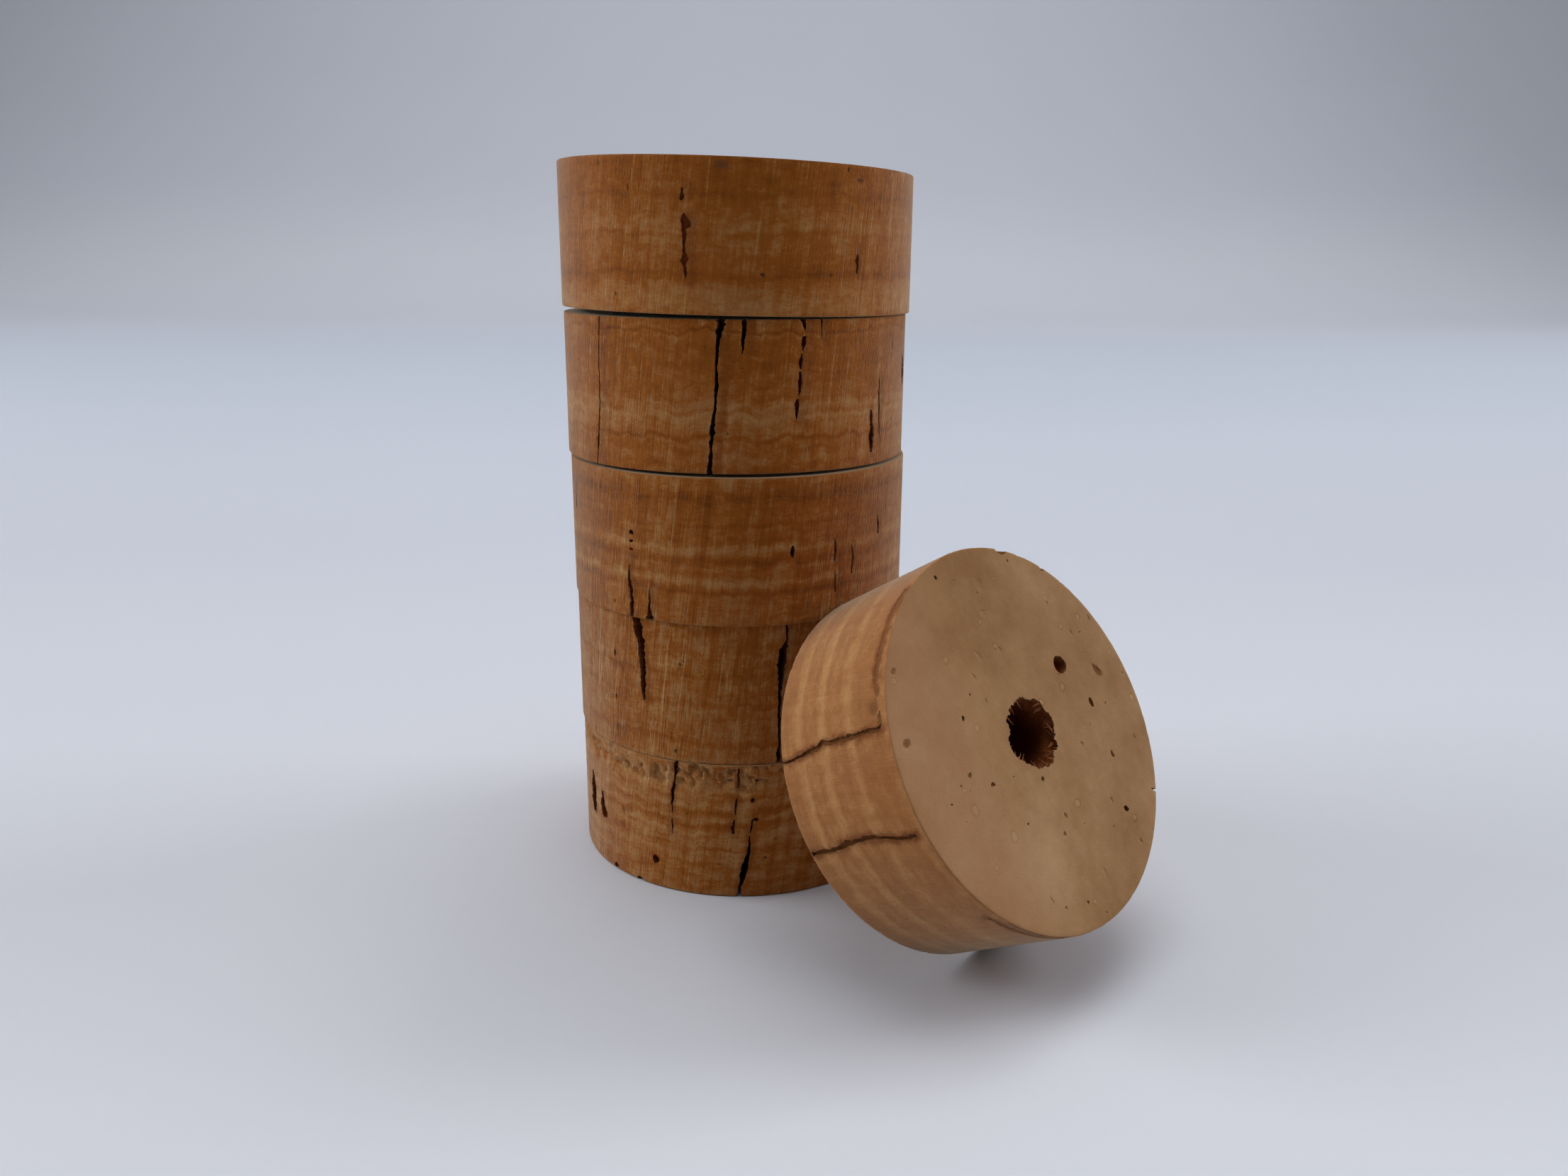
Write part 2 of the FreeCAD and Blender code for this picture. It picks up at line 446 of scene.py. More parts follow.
def speckCutters(board, value, onFaces):
    # small pits strewn where no larger mark is near
    radius, height = value["Radius"], value["Height"]
    if onFaces:
        disc = {"Vertices": 64, "Radius": radius - 0.6}
        sheet = board.add("GeometryNodeMeshCircle", {"fill_type": "NGON"}, disc)
    else:
        flat = {"Size X": radius * (2 * math.pi), "Size Y": height, "Vertices X": 2, "Vertices Y": 2}
        sheet = board.add("GeometryNodeMeshGrid", None, flat)
        middle = board.join(0.0, height * 0.5, 0.0)
        sheet = board.add("GeometryNodeTransform", None, {"Geometry": sheet, "Translation": middle})
    density = cork["faceSpecks"] if onFaces else value["Roughness"] * cork["specks"]
    gap, seed = cork["speckGap"], value["Seed"]
    strewing = {"Mesh": sheet, "Distance Min": gap, "Density Max": density, "Seed": seed}
    strewn = board.add("GeometryNodeDistributePointsOnFaces", {"distribute_method": "POISSON"}, strewing)
    clear = nearest(board, value["Cracks"], "EDGES").atMost(nearest(board, value["Pits"], "POINTS"))
    if onFaces:
        x, y, z = board.split(board.place())
        clear = clear.atMost((x * x + y * y).root() - value["Bore"] - 0.4)
    tooNear = {"Geometry": strewn, "Selection": clear < 0.8}
    strewn = board.add("GeometryNodeDeleteGeometry", {"domain": "POINT"}, tooNear)
    ball = board.add("GeometryNodeMeshIcoSphere", None, {"Radius": 1.0, "Subdivisions": 2})
    tallest = 0.16 if onFaces else 0.16 * 1.6
    size = board.dice((0.05, 0.06, 0.03), (0.15, tallest, 0.10), 3)
    holes = board.realize(board.scatter(strewn, ball, Scale=size))
    if not onFaces:
        return wrapped(board, value, holes, "wall")
    crown = wrapped(board, value, holes, "crown")
    turned = board.add("GeometryNodeTransform", None, {"Geometry": holes, "Rotation": (0.0, 0.0, 2.0)})
    return board.gather(crown, wrapped(board, value, turned, "foot"))


def nearest(board, plan, element, place=None):  # distance to a plan's lines or points
    inputs = {0: board.shapeOf(plan)}
    if place:
        inputs["Source Position"] = place
    return board.add("GeometryNodeProximity", {"target_element": element}, inputs).out("Distance")


def noteSurface(board, value, geometry):
    # notes for the finish: where each point is on the ring, how deep in it, and whether on a flat face
    place = board.place()
    x, y, z = board.split(place)
    out, share = outness(board, value, x, y)
    middle = board.vector("MULTIPLY", value["Shift"], board.spread(share))
    fromWall = value["Radius"] - board.vector("DISTANCE", board.join(x, y, 0.0), middle, out="Value")
    foot, crown = cutAway(board, value, board.vector("SUBTRACT", place, middle))
    fromFace = (z - foot).atMost(value["Height"] - crown - z)
    unrolled = board.join(x.sum("ARCTAN2", -y) * value["Radius"], z, 0.0)
    geometry = board.keep(geometry, "spot", place, "FLOAT_VECTOR")
    notes = {
        "deep": (fromWall - board.named("worn")).atMost(fromFace),
        "fromWall": fromWall,
        "fromFace": fromFace,
        "fromBore": out - value["Bore"],
        "fromCrack": nearest(board, value["Cracks"], "EDGES", unrolled),
    }
    for name, number in notes.items():
        geometry = board.keep(geometry, name, number)
    return geometry


def splinters(board, value):
    # torn fibres that stand into the bore at both mouths
    tapered = {"Vertices": 5, "Side Segments": 3, "Radius Top": 0.008, "Radius Bottom": 0.075, "Depth": 1.0}
    fibre = board.add("GeometryNodeMeshCone", None, tapered)
    mouth = {"Resolution": cork["splinters"], "Radius": value["Bore"] - 0.12}
    circle = board.add("GeometryNodeCurvePrimitiveCircle", None, mouth)
    points = board.add("GeometryNodeCurveToPoints", {"mode": "EVALUATED"}, {"Curve": circle})
    place = board.place()
    index = board.add("GeometryNodeInputIndex")
    inward = board.vector("NORMALIZE", board.vector("MULTIPLY", place, (-1.0, -1.0, 0.0)))
    ends = []
    for number, (level, side) in enumerate(((0.0, -1.0), (value["Height"], 1.0))):
        x, y, z = board.split(board.dice((-0.35, -0.35, -0.60), (0.35, 0.35, -0.05), 5 + number, ID=index))
        raised = board.move(points, board.join(x * 0.4, y * 0.4, z * side + level), "Offset")
        x, y, z = board.split(board.dice((-0.8, -0.8, -0.4), (0.8, 0.8, 0.1), 8 + number, ID=index))
        aim = board.vector("ADD", inward, board.join(x, y, z * side))
        turn = board.add("FunctionNodeAlignRotationToVector", {"axis": "Z"}, {"Vector": aim})
        size = board.dice((0.6, 0.6, 0.35), (1.3, 1.5, 1.15), 13 + number, ID=index)
        ends.append(board.scatter(raised, fibre, Rotation=turn, Scale=size))
    both = board.realize(board.gather(*ends))
    bend = board.noise(place, 1.4, 2.0, 0.5, value["Seed"] + 31.0) - 0.5
    other = board.noise(place, 1.4, 2.0, 0.5, value["Seed"] + 32.0) - 0.5
    both = board.move(both, board.join(bend * 0.3, other * 0.3, 0.0), "Offset")
    both = board.keep(both, "spot", place, "FLOAT_VECTOR")
    shallow = {"deep": 0.0, "fromWall": 12.0, "fromFace": 0.3, "fromBore": 0.0, "fromCrack": 9.0}
    for name, number in shallow.items():
        both = board.keep(both, name, number)
    return both


finish = {
    "dark": (0.115, 0.027, 0.003),
    "tan": (0.345, 0.101, 0.011),
    "pale": (0.560, 0.310, 0.120),
    "red": (0.260, 0.060, 0.010),  # broad reddish patches
    "stain": (0.150, 0.038, 0.008),  # beside the cracks
    # torn cork with painted shade in its recesses
    "tornRecessShade": (0.150, 0.050, 0.012),
    "faceDark": (0.225, 0.098, 0.030),
    "face": (0.340, 0.180, 0.076),
    "facePale": (0.460, 0.285, 0.142),
    "blush": (0.360, 0.165, 0.080),  # on the leaning ring's face
    "scar": (0.190, 0.080, 0.026),  # shallow marks
    "crust": (0.160, 0.036, 0.010),
    "fill": (0.090, 0.020, 0.007),  # the red-brown crumb in cracks, darkened with depth as painted shade; also the painted shade deep in the bore
    # painted shade: the nearly black colour at the bottom of deep cracks and pits
    "deepShade": (0.006, 0.003, 0.002),
    "drilled": (0.240, 0.075, 0.022),
    "slant": -0.0080,  # turn of the tool marks for each millimetre up the wall, in radians
    "relief": 0.00016,
    "gloss": 0.08,
    "sheen": 0.66,
    "sheenTint": (0.96, 1.0, 0.84),
}


def corkFinish(name, look):
    material = bpy.data.materials.new(name)
    board = freshBoard(material)
    note = {"spot": board.add("ShaderNodeAttribute", {"attribute_name": "spot"}, out="Vector")}
    for key in ("deep", "worn", "fromWall", "fromFace", "fromBore", "fromCrack"):
        note[key] = board.add("ShaderNodeAttribute", {"attribute_name": key}, out="Fac")
    inland = board.ease(note["fromWall"], 0.02, 0.15)
    note["onFace"] = inland * (1.0 - board.ease(note["fromFace"], 0.02, 0.12))
    grain = corkGrain(board, look, note["spot"])
    wall = wallColour(board, look, note, grain)
    body = board.blend(note["onFace"], wall, faceColour(board, look, note, grain))
    colour = markColour(board, look, note, grain, body)

    worked = grain["fine"] * 0.6 + grain["coarse"] * 0.4 + grain["torn"] * 0.5 + grain["scratched"] * 0.3
    relief = worked * (1.0 - note["onFace"]) * look["streaks"] + grain["cells"] * 0.3 + grain["mottle"] * 0.25
    raised = {"Strength": 0.8, "Distance": finish["relief"], "Height": relief}
    bump = board.add("ShaderNodeBump", None, raised)
    skinInputs = {
        "Base Color": colour,
        "Roughness": 0.80 + (grain["cells"] - 0.5) * 0.25 + board.ease(note["deep"], 0.05, 0.2) * 0.15,
        "Normal": bump,
        "Specular IOR Level": finish["gloss"],
        "Sheen Weight": finish["sheen"],
        "Sheen Roughness": 0.30,
        "Sheen Tint": opaque(finish["sheenTint"]),
    }
    skin = board.add("ShaderNodeBsdfPrincipled", None, skinInputs)
    crackInputs = {"Base Color": colour, "Roughness": 0.95, "Normal": bump, "Specular IOR Level": 0.03}
    crackWall = board.add("ShaderNodeBsdfPrincipled", None, crackInputs)
    below = board.ease(note["deep"], 0.03, 0.15)
    surface = board.add("ShaderNodeMixShader", None, {0: below, 1: skin, 2: crackWall})
    board.add("ShaderNodeOutputMaterial", None, {"Surface": surface})
    return material


def corkGrain(board, look, spot):
    # upright marks of the cutting tube, turned a little as they climb, and the cork's own clouding
    seed = look["seed"]
    x, y, z = board.split(spot)
    leaning = {"Vector": spot, "Angle": z * finish["slant"]}
    slanted = board.add("ShaderNodeVectorRotate", {"rotation_type": "Z_AXIS"}, leaning)
    upright = board.vector("MULTIPLY", slanted, (1.0, 1.0, 0.035))
    fibre = board.noise(board.vector("MULTIPLY", slanted, (1.0, 1.0, 0.10)), 5.0, 3.0, 0.75, seed + 5.0)
    return {
        "coarse": board.noise(upright, 1.1, 3.0, 0.65, seed + 3.0),
        "fine": board.noise(upright, 5.5, 3.0, 0.7, seed + 4.0),
        "torn": board.ease(fibre, 0.60, 0.74) + (fibre - 0.5) * 2.0,
        "scratched": board.ease(board.noise(upright, 3.4, 1.0, 0.5, seed + 5.5), 0.66, 0.72),
        "mottle": board.noise(spot, 0.9, 4.0, 0.65, seed + 6.0),
        "cells": board.noise(spot, 9.0, 2.0, 0.6, seed + 7.0),
        "patches": board.noise(spot, 0.16, 3.0, 0.6, seed + 8.0),
        "crumb": board.noise(spot, 4.0, 3.0, 0.7, seed + 9.0),
    }


def growthLines(board, look, spot):
    # bands up the wall that waver as they go round, with fine layers between them
    seed, height = look["seed"], look["height"]
    x, y, z = board.split(spot)
    broad = board.noise(spot, 0.11, 2.0, 0.5, seed) - 0.5
    squeezed = board.vector("MULTIPLY", spot, (1.0, 1.0, 0.12))
    ripple = board.noise(squeezed, 0.55, 2.0, 0.55, seed + 1.0) - 0.5
    shiver = board.noise(squeezed, 2.2, 3.0, 0.6, seed + 1.5) - 0.5
    risen = z + broad * look["drift"] + ripple * look["ripple"] + shiver * (look["ripple"] * 0.30)
    band = board.ramp(risen / height, *[(min(up / height, 1.0), tone) for up, tone in look["growth"]])
    layers = board.noise(board.join(x * 0.16, y * 0.16, risen), 2.6, 3.0, 0.7, seed + 2.0)
    thinLayers = board.noise(board.join(x * 0.30, y * 0.30, risen), 7.5, 2.0, 0.6, seed + 2.5)
    tone = (band - 0.5) * look["bands"] + (layers - 0.5) * look["layers"] * 1.35 + (thinLayers - 0.5) * 0.34
    return tone + 0.5


def wallColour(board, look, note, grain):
    mottle, patches = grain["mottle"], grain["patches"]
    worked = (grain["coarse"] - 0.5) * 0.62 + (grain["fine"] - 0.5) * board.ease(mottle, 0.40, 0.60) * 0.70
    tone = growthLines(board, look, note["spot"]) + worked * look["streaks"] + look["lift"]
    tone = tone + (mottle - 0.5) * 0.62 + (grain["cells"] - 0.5) * 0.30 + (patches - 0.5) * 0.45
    # pale fibre tears and scratches, strengthened as painted highlights on the raised strokes
    tone = tone + (grain["torn"] + grain["scratched"]) * look["scuffs"]
    dark, tan = look.get("dark", finish["dark"]), look.get("tan", finish["tan"])
    wall = board.ramp(tone, (0.0, dark), (0.5, tan), (1.0, finish["pale"]))
    stained = 1.0 - board.ease(note["fromCrack"] + (mottle - 0.5) * 1.4, 0.10, 0.75)
    wall = board.blend(stained * look.get("stain", 0.38), wall, finish["stain"])
    return board.blend(board.ease(patches, 0.42, 0.75) * 0.22, wall, finish["red"])


def faceColour(board, look, note, grain):
    # the flat faces are paler and only clouded, with pale and dark spots
    x, y, z = board.split(note["spot"])
    clouds = board.noise(note["spot"], 0.10, 2.0, 0.5, look["seed"] + 8.5)
    tone = 0.5 + (clouds - 0.5) * 1.45 + (grain["patches"] - 0.5) * 0.8
    tone = tone + (grain["mottle"] - 0.5) * 0.50 + (grain["cells"] - 0.5) * 0.30
    warped = board.vector("MULTIPLY_ADD", board.spread(grain["mottle"] - 0.5), (0.6, 0.9, 0.0), note["spot"])
    dotted = {"Vector": warped, "Scale": 0.33}
    spots = board.add("ShaderNodeTexVoronoi", {"voronoi_dimensions": "2D"}, dotted, "Distance")
    chosen, breadth, unused = board.split(spots.out("Color"))
    apart = spots / (0.05 + breadth * 0.11)
    kept = (chosen > 0.68) * (1.0 - board.ease(apart, 0.8, 1.2))
    tone = tone + kept * (0.22 - board.ease(apart, 0.5, 0.9) * 0.50)
    face = board.ramp(tone, (0.0, finish["faceDark"]), (0.5, finish["face"]), (1.0, finish["facePale"]))
    warm = board.ease(-x + clouds * 8.0 - 4.0, 1.0, 12.0) * look.get("blush", 0.0)
    return board.blend(warm, face, finish["blush"])


def markColour(board, look, note, grain, body):
    # shallow marks are brown, cracks and pits go through red crumb to nearly black; the darkening with depth is
    # painted shade, as is the darkening deeper into the bore
    deep, fromFace, crumb = note["deep"], note["fromFace"], grain["crumb"]
    sunk = (deep + (crumb - 0.5) * 0.5 * board.ease(deep, 0.05, 0.4)) / look["fillDepth"]
    # real mark colours near the surface, painted shade towards the bottom
    stops = ((0.05, "scar"), (0.16, "crust"), (0.40, "fill"), (0.85, "deepShade"))
    markAndShade = board.ramp(sunk, *[(place, finish[key]) for place, key in stops])
    # painted shade in recesses: darker brown where the wall is sunk in most, as in the torn band below the crown
    recessShade = board.ease(note["worn"] + (crumb - 0.5) * 0.30, 0.18, 0.40) * (1.0 - note["onFace"]) * 0.50
    body = board.blend(recessShade, body, finish["tornRecessShade"])
    colour = board.blend(board.ease(deep, 0.03, 0.10), body, markAndShade)
    bored = (1.0 - board.ease(note["fromBore"], 0.05, 0.30)) * board.ease(fromFace, 0.02, 0.30)
    # painted shade: the bore darkens from the drilled colour towards the crumb-and-shade colour deeper in from
    # either face
    boreShade = board.ease(fromFace + (crumb - 0.5) * 1.6, 0.7, 3.4)
    return board.blend(bored, colour, board.blend(boreShade, finish["drilled"], finish["fill"]))


# angles run from the front, positive to the right; heights, widths and depths are in mm
# growth: (height, tone); a crack: (depth, [(angle, height, width), ...])
# pits: (angle, height, width, length, depth); facePits: (x, y, width, length, depth, turn in degrees)

bottomRing = {
    "node": "bottom_ring",
    "streaks": 1.0,
    "lift": 0.1,
    "seed": 1.0,
    "roughness": 1.5,
    "torn": (2.6, 0.36),
    "ripple": 1.5,
    "drift": 2.2,
    "bands": 0.85,
    "layers": 0.55,
    "scuffs": 0.1,
    "fillDepth": 1.4,
    "growth": [
        (0.0, 0.52), (1.6, 0.4), (2.2, 0.55), (3.0, 0.42), (3.8, 0.6), (4.6, 0.38), (5.2, 0.56),
        (6.3, 0.66), (7.0, 0.36), (7.6, 0.6), (8.3, 0.34), (8.9, 0.64), (9.8, 0.46), (10.9, 0.62),
        (12.9, 0.55),
    ],
    "cracks": [
        (1.3, [
            (-22.0, 13.2, 0.45), (-22.9, 11.1, 0.22), (-23.5, 10.1, 0.36), (-23.8, 9.0, 0.3),
            (-23.9, 7.8, 0.1),
        ]),
        (0.8, [(-23.9, 7.2, 0.12), (-24.0, 6.5, 0.25), (-24.0, 5.7, 0.08)]),
        (0.35, [(-1.3, 12.7, 0.16), (-1.4, 11.9, 0.26), (-1.4, 10.8, 0.2)]),
        (0.3, [(-2.0, 9.8, 0.14), (-2.3, 9.2, 0.34), (-2.4, 8.2, 0.16)]),
        (0.35, [(-2.9, 7.7, 0.18), (-3.1, 7.0, 0.42), (-3.3, 6.3, 0.3)]),
        (0.7, [(3.2, 7.7, 0.16), (2.7, 6.9, 0.22), (2.5, 6.4, 0.1)]),
        (1.8, [
            (2.2, 6.1, 0.12), (2.1, 4.8, 0.32), (1.0, 3.5, 0.62), (0.2, 2.6, 0.8), (-0.4, 1.6, 0.5),
            (-1.2, 0.8, 0.34), (-1.6, -0.3, 0.42),
        ]),
        (0.8, [(-66.2, 8.5, 0.4), (-66.0, 7.2, 1.2), (-65.7, 5.6, 1.6), (-65.4, 4.2, 0.9)]),
        (0.35, [(-57.9, 7.2, 0.6), (-57.5, 6.0, 0.9), (-57.0, 5.3, 1.2), (-56.4, 4.6, 1.0)]),
    ],
    "pits": [
        (-30.6, 2.7, 0.7, 0.9, 0.5), (-49.5, 0.3, 0.75, 0.6, 0.5), (-37.5, 0.1, 0.7, 0.55, 0.5),
        (3.2, 9.6, 0.44, 0.5, 0.35), (4.8, 11.5, 0.5, 0.35, 0.3), (7.4, 3.9, 0.4, 0.3, 0.14),
        (4.2, 7.7, 0.6, 0.4, 0.4), (-7.7, 3.2, 0.7, 0.25, 0.08), (-44.4, 6.6, 0.5, 0.9, 0.08),
        (-18.5, 8.0, 0.35, 0.3, 0.1), (-33.0, 5.0, 0.3, 0.6, 0.06), (-13.0, 5.2, 0.3, 0.25, 0.08),
    ],
    "facePits": [],
}

secondRing = {
    "node": "second_ring",
    "streaks": 1.3,
    "lift": 0.07,
    "seed": 2.0,
    "roughness": 3.0,
    "torn": (0.0, 0.0),
    "ripple": 1.3,
    "drift": 1.4,
    "bands": 0.6,
    "layers": 0.45,
    "scuffs": 0.34,
    "fillDepth": 3.0,
    "growth": [
        (0.0, 0.58), (1.5, 0.52), (2.0, 0.3), (2.5, 0.54), (5.2, 0.52), (5.6, 0.34), (6.1, 0.54),
        (8.0, 0.52), (8.4, 0.32), (8.8, 0.52), (10.8, 0.46), (13.0, 0.48),
    ],
    "cracks": [
        (1.5, [
            (-35.6, 13.3, 0.95), (-34.5, 12.0, 1.05), (-33.6, 10.8, 0.85), (-33.2, 9.2, 0.8),
            (-32.9, 7.2, 0.62), (-33.0, 6.2, 0.55), (-32.6, 5.3, 0.15),
        ]),
        (1.8, [
            (15.8, 13.3, 0.22), (16.0, 11.4, 0.26), (14.6, 10.5, 0.85), (14.4, 9.5, 1.0), (14.0, 8.0, 0.55),
            (13.5, 5.2, 0.34), (13.6, 1.8, 0.24), (13.2, 0.9, 0.5), (13.4, -0.3, 0.34),
        ]),
    ],
    "pits": [
        (-45.6, 9.1, 0.3, 0.65, 0.18), (-19.0, 9.2, 0.4, 0.4, 0.12), (-45.6, 4.9, 0.3, 0.6, 0.14),
        (-38.0, 4.4, 0.3, 0.25, 0.08), (-21.0, 1.0, 0.36, 0.5, 0.12), (-44.5, 2.1, 0.5, 0.45, 0.07),
        (0.5, 5.9, 0.3, 0.3, 0.08), (-12.0, 11.2, 0.3, 0.3, 0.06), (-18.0, 9.6, 0.5, 0.25, 0.08),
    ],
    "facePits": [],
}

thirdRing = {
    "node": "third_ring",
    "streaks": 1.15,
    "lift": 0.0,
    "seed": 3.0,
    "roughness": 1.0,
    "torn": (0.0, 0.0),
    "ripple": 0.9,
    "drift": 1.2,
    "bands": 0.9,
    "layers": 0.4,
    "scuffs": 0.16,
    "fillDepth": 1.4,
    "growth": [
        (0.0, 0.55), (1.6, 0.5), (2.6, 0.52), (3.0, 0.3), (3.4, 0.48), (3.9, 0.74), (4.5, 0.46),
        (5.2, 0.54), (5.8, 0.3), (6.2, 0.5), (6.8, 0.72), (7.4, 0.48), (8.7, 0.5), (8.9, 0.36), (9.2, 0.5),
        (10.6, 0.46), (11.2, 0.3), (11.8, 0.48), (12.9, 0.6),
    ],
    "cracks": [
        (1.4, [
            (-36.8, 4.8, 0.1), (-37.3, 3.5, 0.34), (-36.6, 2.6, 0.48), (-36.3, 1.7, 0.44),
            (-36.5, -0.2, 0.55),
        ]),
        (1.0, [(-29.2, 3.0, 0.07), (-29.3, 1.6, 0.26), (-29.4, 0.8, 0.5), (-29.4, -0.2, 1.1)]),
        (0.7, [(-70.6, 10.6, 0.18), (-71.0, 8.3, 0.22)]),
        (0.4, [(52.6, 8.5, 0.14), (53.0, 7.6, 0.3), (53.0, 6.8, 0.16)]),
        (0.16, [(32.4, 7.2, 0.14), (32.7, 6.2, 0.36), (32.4, 5.2, 0.18)]),
        (0.12, [(32.8, 4.4, 0.12), (32.5, 3.2, 0.28), (32.9, 2.4, 0.14)]),
        (0.12, [(39.4, 6.4, 0.14), (39.9, 5.2, 0.3), (39.6, 3.8, 0.18)]),
    ],
    "pits": [
        (-35.8, 7.7, 0.5, 0.42, 0.5), (-36.0, 6.9, 0.4, 0.22, 0.4), (-35.9, 6.2, 0.42, 0.2, 0.4),
        (17.3, 6.5, 0.4, 1.1, 0.7), (-44.2, 1.1, 0.15, 0.35, 0.2),
    ],
    "facePits": [],
}

fourthRing = {
    "node": "fourth_ring",
    "streaks": 0.9,
    "lift": 0.0,
    "seed": 4.0,
    "roughness": 1.0,
    "torn": (0.0, 0.0),
    "ripple": 1.8,
    "drift": 0.8,
    "bands": 0.8,
    "layers": 0.4,
    "scuffs": 0.1,
    "fillDepth": 1.5,
    "footSlope": (0.0, -0.45),
    "growth": [
        (0.0, 0.56), (0.9, 0.44), (1.5, 0.6), (2.3, 0.46), (2.9, 0.58), (3.2, 0.3), (3.5, 0.58), (4.5, 0.6),
        (5.0, 0.76), (5.4, 0.56), (5.9, 0.7), (6.4, 0.5), (8.8, 0.48), (9.2, 0.42), (11.4, 0.46),
        (11.7, 0.56), (11.9, 0.26), (12.1, 0.52), (12.9, 0.52),
    ],
    "cracks": [
        (0.8, [
            (-46.3, 13.2, 0.2), (-47.3, 9.7, 0.14), (-47.4, 5.5, 0.2), (-48.6, 3.0, 0.2),
            (-48.9, 2.1, 0.52), (-49.3, 1.3, 0.2), (-49.7, -0.2, 0.22),
        ]),
        (1.8, [
            (-4.6, 13.3, 1.05), (-4.2, 12.3, 0.75), (-4.9, 11.3, 0.38), (-5.6, 9.0, 0.26),
            (-5.4, 7.5, 0.36), (-6.1, 5.5, 0.3), (-7.0, 3.5, 0.46), (-7.3, 2.0, 0.3), (-7.7, 0.9, 0.45),
            (-7.8, -0.3, 0.5),
        ]),
        (1.2, [(2.9, 13.2, 0.7), (2.6, 11.7, 0.4), (2.2, 10.1, 0.1)]),
        (0.9, [(20.6, 13.2, 0.75), (21.3, 12.3, 0.3), (21.4, 12.0, 0.1)]),
        (0.5, [(21.3, 11.5, 0.34), (21.1, 10.9, 0.44), (20.6, 10.3, 0.16)]),
        (0.45, [(20.4, 10.1, 0.2), (20.2, 9.4, 0.4), (20.0, 8.8, 0.22)]),
        (0.5, [(19.9, 8.6, 0.26), (19.9, 7.9, 0.42), (19.8, 6.9, 0.24), (19.6, 6.6, 0.12)]),
        (0.45, [(19.3, 6.3, 0.24), (19.1, 5.8, 0.46), (19.0, 5.1, 0.3), (18.9, 4.6, 0.1)]),
        (0.6, [(27.0, 13.2, 0.32), (27.0, 12.3, 0.12), (27.1, 11.2, 0.08)]),
        (0.3, [(52.7, 7.6, 0.1), (52.7, 5.4, 0.24), (53.1, 3.6, 0.2), (53.6, 2.2, 0.08)]),
        (0.4, [(48.4, 4.9, 0.26), (48.9, 3.4, 0.6), (48.7, 2.2, 0.9), (48.9, 1.1, 0.3)]),
        (0.7, [(74.2, 9.2, 0.4), (75.2, 8.0, 1.3), (75.6, 6.6, 0.6)]),
    ],
    "pits": [(-1.9, 11.6, 0.3, 0.25, 0.08), (2.1, 8.9, 0.4, 0.25, 0.08)],
    "facePits": [],
}

topRing = {
    "node": "top_ring",
    "streaks": 0.75,
    "lift": 0.02,
    "seed": 5.0,
    "roughness": 0.6,
    "torn": (0.0, 0.0),
    "ripple": 1.0,
    "drift": 1.4,
    "bands": 0.85,
    "layers": 0.3,
    "scuffs": 0.14,
    "fillDepth": 1.3,
    "footSlope": (-0.85, 0.0),
    "crownSlope": (1.85, 0.0),
    "growth": [
        (0.0, 0.56), (0.8, 0.66), (2.4, 0.6), (3.1, 0.42), (3.4, 0.27), (3.8, 0.44), (6.3, 0.54),
        (6.7, 0.44), (7.0, 0.6), (9.3, 0.46), (9.7, 0.32), (10.1, 0.46), (12.9, 0.42),
    ],
    "cracks": [
        (0.22, [(-15.2, 10.3, 0.3), (-15.5, 9.9, 0.2), (-15.3, 9.6, 0.7), (-15.7, 9.3, 0.16)]),
        (0.24, [
            (-14.9, 8.3, 0.2), (-14.6, 7.8, 0.8), (-14.3, 7.4, 1.1), (-14.7, 7.0, 0.55), (-14.8, 6.3, 0.45),
            (-14.9, 5.6, 0.2), (-14.9, 5.1, 0.45), (-14.8, 4.6, 0.9), (-14.8, 4.1, 0.4), (-14.7, 3.4, 0.34),
            (-14.7, 3.0, 0.12),
        ]),
        (0.2, [
            (39.0, 5.4, 0.14), (38.8, 4.9, 0.46), (38.9, 4.4, 0.26), (38.8, 4.1, 0.44), (38.9, 3.7, 0.12),
        ]),
    ],
    "pits": [
        (-32.6, 10.3, 0.16, 0.6, 0.1), (7.7, 3.5, 0.42, 0.36, 0.14), (28.8, 3.6, 0.4, 0.2, 0.1),
        (-4.0, 12.2, 1.3, 0.9, 0.09), (-44.0, 12.2, 0.8, 0.6, 0.07), (48.5, 9.2, 0.12, 0.8, 0.08),
        (39.0, 11.6, 0.9, 0.5, 0.08), (18.0, 4.2, 0.25, 0.25, 0.06),
    ],
    "facePits": [
        (-6.0, 3.5, 0.9, 0.7, 0.4, 20), (7.5, -4.0, 0.5, 0.9, 0.3, 60), (3.0, 9.0, 0.6, 0.4, 0.3, 0),
    ],
}

